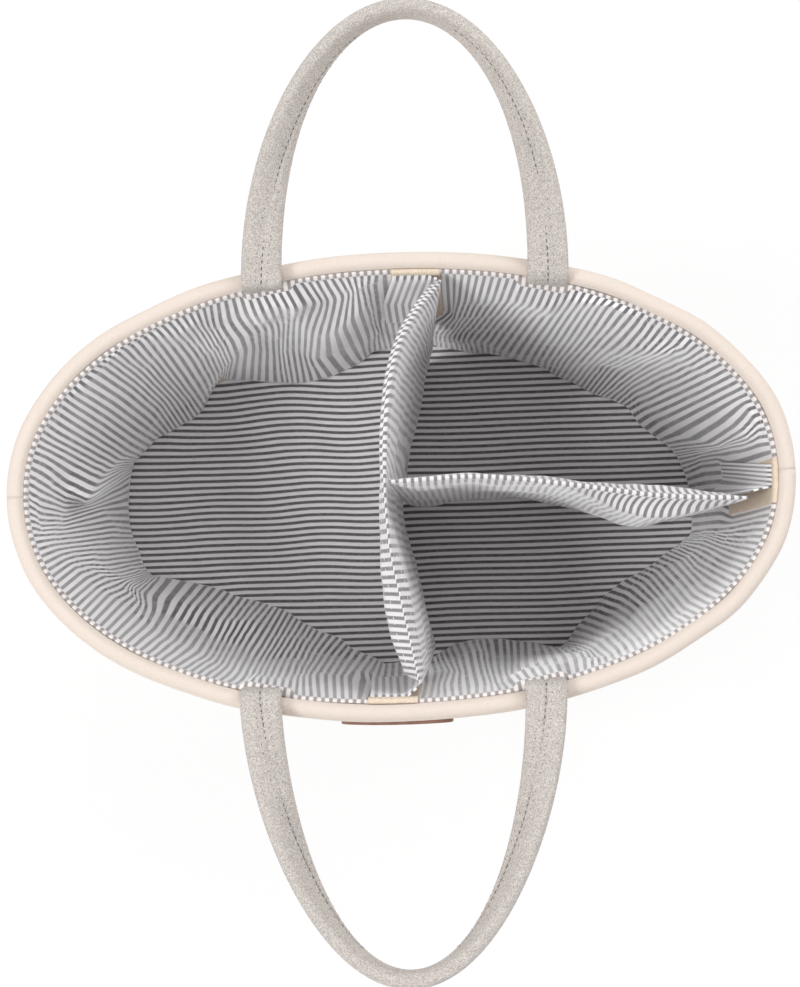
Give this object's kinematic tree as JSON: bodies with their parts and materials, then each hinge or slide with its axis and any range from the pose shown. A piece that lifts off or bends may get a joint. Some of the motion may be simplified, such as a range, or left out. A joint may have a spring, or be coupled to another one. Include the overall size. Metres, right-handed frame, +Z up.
{
  "type": "diaper caddy",
  "caption": "Oval padded felt caddy with striped lining, lift-out T-shaped divider, two felt strap handles and a bare leather label.",
  "frame": {"origin": "middle of the flat underside of the base panel", "axes": "+X along the caddy towards the end that the long divider panel reaches, +Y across it towards the back, +Z up; the leather label is on the -Y side"},
  "size_m": [0.4048, 0.4809, 0.227],
  "materials": {
    "shell_felt": "matte cream felt",
    "handle_felt": "mottled light grey felt",
    "ticking": "woven cotton in fine grey and white stripes",
    "padding": "soft foam sheet, hidden",
    "stiffener_board": "plain board, hidden",
    "hook_tape": "beige hook tape",
    "loop_tape": "beige brushed loop tape",
    "label_leather": "smooth brown leather, bare"
  },
  "bodies": {
    "tote": {"shell_front": "shell_felt", "shell_back": "shell_felt", "base_panel": "shell_felt", "wall_padding_front": "padding", "wall_padding_back": "padding", "base_board": "stiffener_board", "lining_front": "ticking", "lining_back": "ticking", "lining_floor": "ticking", "loop_patch_back": "loop_tape", "loop_patch_front": "loop_tape", "loop_patch_end": "loop_tape", "strap_end_back_left": "handle_felt", "strap_end_back_right": "handle_felt", "strap_end_front_left": "handle_felt", "strap_end_front_right": "handle_felt", "leather_label": "label_leather"},
    "divider": {"cross_panel_cover_left": "ticking", "cross_panel_cover_right": "ticking", "cross_panel_foam": "padding", "long_panel_cover_left": "ticking", "long_panel_cover_right": "ticking", "long_panel_foam": "padding"},
    "back_tab": {"tab_back": "ticking", "hook_tape_back": "hook_tape"},
    "front_tab": {"tab_front": "ticking", "hook_tape_front": "hook_tape"},
    "end_tab": {"tab_end": "ticking", "hook_tape_end": "hook_tape"},
    "back_handle": {"handle_back": "handle_felt"},
    "front_handle": {"handle_front": "handle_felt"}
  },
  "joints": [
    {"name": "back_handle_swing", "type": "hinge", "parent": "tote", "child": "back_handle", "pos_m": [0.0072, 0.10232, 0.18155], "axis": [1, 0, 0], "range_deg": [0, 115]},
    {"name": "front_handle_swing", "type": "hinge", "parent": "tote", "child": "front_handle", "pos_m": [-0.0005, -0.10271, 0.18155], "axis": [-1, 0, 0], "range_deg": [0, 115]},
    {"name": "divider_lift", "type": "slide", "parent": "tote", "child": "divider", "axis": [0, 0, 1], "range_m": [0, 0.32]},
    {"name": "back_tab_peel", "type": "hinge", "parent": "divider", "child": "back_tab", "pos_m": [0.01903, 0.09432, 0.077], "axis": [0.049, 0.0751, 0.996], "range_deg": [0, 30]},
    {"name": "front_tab_peel", "type": "hinge", "parent": "divider", "child": "front_tab", "pos_m": [0.00882, -0.09549, 0.077], "axis": [0.0249, 0.0799, -0.9965], "range_deg": [0, 42]},
    {"name": "end_tab_peel", "type": "hinge", "parent": "divider", "child": "end_tab", "pos_m": [0.16948, -0.00745, 0.077], "axis": [0.1138, 0.0237, 0.9932], "range_deg": [0, 65]}
  ]
}
